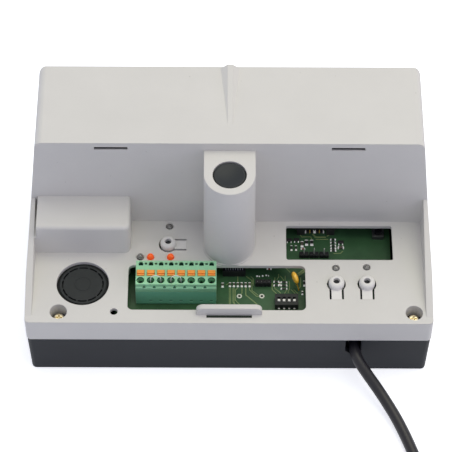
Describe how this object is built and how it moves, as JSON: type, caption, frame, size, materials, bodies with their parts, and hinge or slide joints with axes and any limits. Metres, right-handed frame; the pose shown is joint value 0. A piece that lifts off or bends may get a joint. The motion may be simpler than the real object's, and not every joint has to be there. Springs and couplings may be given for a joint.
{
  "type": "garage door control unit",
  "caption": "Boxy garage door control unit with a stepped light shell on a dark base, push buttons, green spring terminals, open board windows and a mains lead.",
  "frame": {"origin": "centre of the rear face, on the surface it lies on, without the mains lead", "axes": "+X across the unit to the right, +Y from the front edge with the lead towards the far end, +Z out of the wall"},
  "size_m": [0.2026, 0.2727, 0.1059],
  "materials": {
    "dark_plastic": "fine grain, dark anthracite",
    "light_plastic": "fine grain, light warm grey",
    "zinc_screw": "yellow zinc plating",
    "steel": "plain steel",
    "board_green": "green solder mask",
    "terminal_green": "mid green",
    "tinned_metal": "tinned",
    "white_wire": "white sleeve",
    "black_plastic": "black",
    "chip_black": "dark moulding",
    "yellow_resin": "yellow dip coating",
    "sounder_black": "dark grey",
    "clear_resin": "clear resin",
    "amber_resin": "orange red resin",
    "button_black": "black",
    "core_steel": "varnished laminations",
    "winding_tape": "yellow tape",
    "capacitor_sleeve": "dark sleeve",
    "fuse_metal": "nickel",
    "cord_black": "black sheath",
    "wire_brown": "insulated cores",
    "plug_black": "black moulding",
    "plug_metal": "nickel",
    "orange_plastic": "orange",
    "white_plastic": "white"
  },
  "bodies": {
    "housing": {"rear_housing": "dark_plastic", "front_housing": "light_plastic", "housing_screws": "zinc_screw", "circuit_board": "board_green", "board_screws": "steel", "terminal_block": "terminal_green", "terminal_clamps": "tinned_metal", "wire_links": "white_wire", "dip_switch_body": "black_plastic", "dip_switch_pins": "tinned_metal", "disc_capacitor": "yellow_resin", "option_header": "black_plastic", "service_header": "black_plastic", "header_pins": "tinned_metal", "ribbon_connector": "black_plastic", "chip_components": "chip_black", "learn_key_body": "black_plastic", "sounder_body": "black_plastic", "sounder_cover": "sounder_black", "clear_leds": "clear_resin", "amber_leds": "amber_resin", "led_spacers": "black_plastic", "key_switches": "black_plastic", "main_switch": "black_plastic", "main_button_spring": "steel", "transformer_core": "core_steel", "transformer_winding": "winding_tape", "transformer_bracket": "steel", "transformer_screws": "steel", "motor_relay": "black_plastic", "reservoir_capacitor": "capacitor_sleeve", "fuse": "fuse_metal", "fuse_clips": "tinned_metal", "bridge_rectifier": "black_plastic", "cord_clamp": "dark_plastic", "cord_clamp_screws": "steel", "mains_sheath": "cord_black", "mains_wires": "wire_brown", "power_cord": "cord_black", "power_cord_coil": "cord_black", "power_cord_tail": "cord_black", "plug_body": "plug_black", "plug_pins": "plug_metal"},
    "main_button_body": {"main_button": "button_black"},
    "learn_key_plunger_body": {"learn_key_plunger": "black_plastic"},
    "flexure_key_1_body": {"flexure_key_1": "light_plastic"},
    "flexure_key_2_body": {"flexure_key_2": "light_plastic"},
    "flexure_key_3_body": {"flexure_key_3": "light_plastic"},
    "release_button_1_body": {"release_button_1": "orange_plastic"},
    "release_button_2_body": {"release_button_2": "orange_plastic"},
    "release_button_3_body": {"release_button_3": "orange_plastic"},
    "release_button_4_body": {"release_button_4": "orange_plastic"},
    "release_button_5_body": {"release_button_5": "orange_plastic"},
    "release_button_6_body": {"release_button_6": "orange_plastic"},
    "release_button_7_body": {"release_button_7": "orange_plastic"},
    "release_button_8_body": {"release_button_8": "orange_plastic"},
    "dip_slider_1_body": {"dip_slider_1": "white_plastic"},
    "dip_slider_2_body": {"dip_slider_2": "white_plastic"},
    "dip_slider_3_body": {"dip_slider_3": "white_plastic"},
    "dip_slider_4_body": {"dip_slider_4": "white_plastic"}
  },
  "joints": [
    {"name": "main_button_press", "type": "slide", "parent": "housing", "child": "main_button_body", "axis": [0, 0, -1], "range_m": [0, 0.0015], "stiffness_N_per_m": 600, "deforming": ["main_button_spring"]},
    {"name": "learn_key_press", "type": "slide", "parent": "housing", "child": "learn_key_plunger_body", "axis": [0, 0, -1], "range_m": [0, 0.0003], "stiffness_N_per_m": 1500},
    {"name": "flexure_key_1_bend", "type": "hinge", "parent": "housing", "child": "flexure_key_1_body", "pos_m": [-0.0214, -0.01185, 0.0384], "axis": [0, -1, 0], "range_deg": [0, 4.5], "stiffness_Nm_per_rad": 0.35},
    {"name": "flexure_key_2_bend", "type": "hinge", "parent": "housing", "child": "flexure_key_2_body", "pos_m": [0.0531, -0.0447, 0.0384], "axis": [-1, 0, 0], "range_deg": [0, 4.5], "stiffness_Nm_per_rad": 0.35},
    {"name": "flexure_key_3_bend", "type": "hinge", "parent": "housing", "child": "flexure_key_3_body", "pos_m": [0.0682, -0.04465, 0.0384], "axis": [-1, 0, 0], "range_deg": [0, 4.5], "stiffness_Nm_per_rad": 0.35},
    {"name": "release_button_1_press", "type": "slide", "parent": "housing", "child": "release_button_1_body", "axis": [0, 0, -1], "range_m": [0, 0.0015], "stiffness_N_per_m": 800},
    {"name": "release_button_2_press", "type": "slide", "parent": "housing", "child": "release_button_2_body", "axis": [0, 0, -1], "range_m": [0, 0.0015], "stiffness_N_per_m": 800},
    {"name": "release_button_3_press", "type": "slide", "parent": "housing", "child": "release_button_3_body", "axis": [0, 0, -1], "range_m": [0, 0.0015], "stiffness_N_per_m": 800},
    {"name": "release_button_4_press", "type": "slide", "parent": "housing", "child": "release_button_4_body", "axis": [0, 0, -1], "range_m": [0, 0.0015], "stiffness_N_per_m": 800},
    {"name": "release_button_5_press", "type": "slide", "parent": "housing", "child": "release_button_5_body", "axis": [0, 0, -1], "range_m": [0, 0.0015], "stiffness_N_per_m": 800},
    {"name": "release_button_6_press", "type": "slide", "parent": "housing", "child": "release_button_6_body", "axis": [0, 0, -1], "range_m": [0, 0.0015], "stiffness_N_per_m": 800},
    {"name": "release_button_7_press", "type": "slide", "parent": "housing", "child": "release_button_7_body", "axis": [0, 0, -1], "range_m": [0, 0.0015], "stiffness_N_per_m": 800},
    {"name": "release_button_8_press", "type": "slide", "parent": "housing", "child": "release_button_8_body", "axis": [0, 0, -1], "range_m": [0, 0.0015], "stiffness_N_per_m": 800},
    {"name": "dip_slider_1_set", "type": "slide", "parent": "housing", "child": "dip_slider_1_body", "axis": [0, 1, 0], "range_m": [0, 0.0014]},
    {"name": "dip_slider_2_set", "type": "slide", "parent": "housing", "child": "dip_slider_2_body", "axis": [0, 1, 0], "range_m": [0, 0.0014]},
    {"name": "dip_slider_3_set", "type": "slide", "parent": "housing", "child": "dip_slider_3_body", "axis": [0, 1, 0], "range_m": [0, 0.0014]},
    {"name": "dip_slider_4_set", "type": "slide", "parent": "housing", "child": "dip_slider_4_body", "axis": [0, 1, 0], "range_m": [0, 0.0014]}
  ]
}
